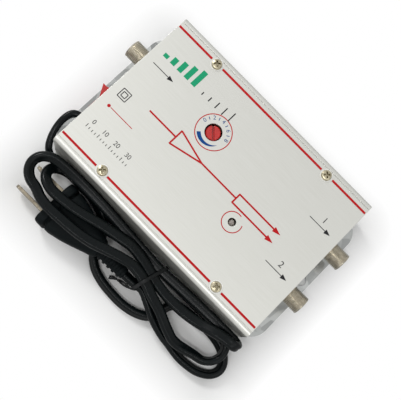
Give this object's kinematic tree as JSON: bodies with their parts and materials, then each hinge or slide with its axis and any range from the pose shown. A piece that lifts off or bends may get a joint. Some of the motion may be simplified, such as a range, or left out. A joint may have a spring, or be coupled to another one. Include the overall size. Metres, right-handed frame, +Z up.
{
  "type": "tv signal amplifier",
  "caption": "Flat metal box aerial amplifier with threaded sockets at its ends, a rocker switch, a gain control and a tied mains cord with plug",
  "frame": {"origin": "centre of the base plate's underside, on the table", "axes": "+X along the box to the output end, +Y across it away from the cord hank, +Z up"},
  "size_m": [0.14, 0.1117, 0.0316],
  "materials": {
    "cover_aluminium": "satin brushed",
    "galvanised_steel": "spangled zinc",
    "plate_steel": "satin",
    "connector_nickel": "plated",
    "screw_steel": "plated",
    "contact_brass": "bright",
    "pin_brass": "worn plate",
    "cord_pvc": "satin",
    "black_plastic": "satin",
    "red_plastic": "gloss",
    "lamp_lens": "clear gloss",
    "board_laminate": "satin",
    "core_steel": "varnished sheets",
    "bobbin_nylon": "matte",
    "sleeve_pvc": "gloss",
    "component_epoxy": "matte",
    "ferrite": "matte",
    "ceramic_coat": "matte",
    "insulator_plastic": "matte",
    "pot_body": "matte",
    "wire_pvc": "satin"
  },
  "bodies": {
    "chassis": {"base_plate": "galvanised_steel", "input_end_plate": "plate_steel", "output_end_plate": "plate_steel", "plate_rivets": "plate_steel", "top_cover": "cover_aluminium", "cover_pillars": "plate_steel", "cover_screws": "screw_steel", "circuit_board": "board_laminate", "board_spacers": "plate_steel", "board_screws": "screw_steel", "transformer_core": "core_steel", "transformer_bobbin": "bobbin_nylon", "transformer_clamp": "plate_steel", "filter_capacitors": "sleeve_pvc", "rectifier_diodes": "component_epoxy", "regulator": "component_epoxy", "amplifier_transistors": "component_epoxy", "ferrite_cores": "ferrite", "ceramic_capacitors": "ceramic_coat", "gain_pot": "pot_body", "power_lamp": "lamp_lens", "lamp_leads": "plate_steel", "input_connector": "connector_nickel", "output_connector_1": "connector_nickel", "output_connector_2": "connector_nickel", "connector_insulators": "insulator_plastic", "connector_contacts": "contact_brass", "connector_nuts": "connector_nickel", "switch_housing": "black_plastic", "switch_terminals": "contact_brass", "cord_bushing": "black_plastic", "mains_wires": "wire_pvc", "cord_lead": "cord_pvc", "cord_hank": "cord_pvc", "cord_tie": "black_plastic", "plug_body": "cord_pvc", "plug_pins": "pin_brass"},
    "rocker": {"switch_rocker": "red_plastic"},
    "knob": {"gain_knob": "red_plastic"}
  },
  "joints": [
    {"name": "rocker_tip", "type": "hinge", "parent": "chassis", "child": "rocker", "pos_m": [-0.057, -0.01, 0.015], "axis": [0, 0, 1], "range_deg": [-30, 0]},
    {"name": "gain_turn", "type": "hinge", "parent": "chassis", "child": "knob", "pos_m": [-0.014, 0.0122, 0.025], "axis": [0, 0, 1], "range_deg": [-135, 135]}
  ]
}
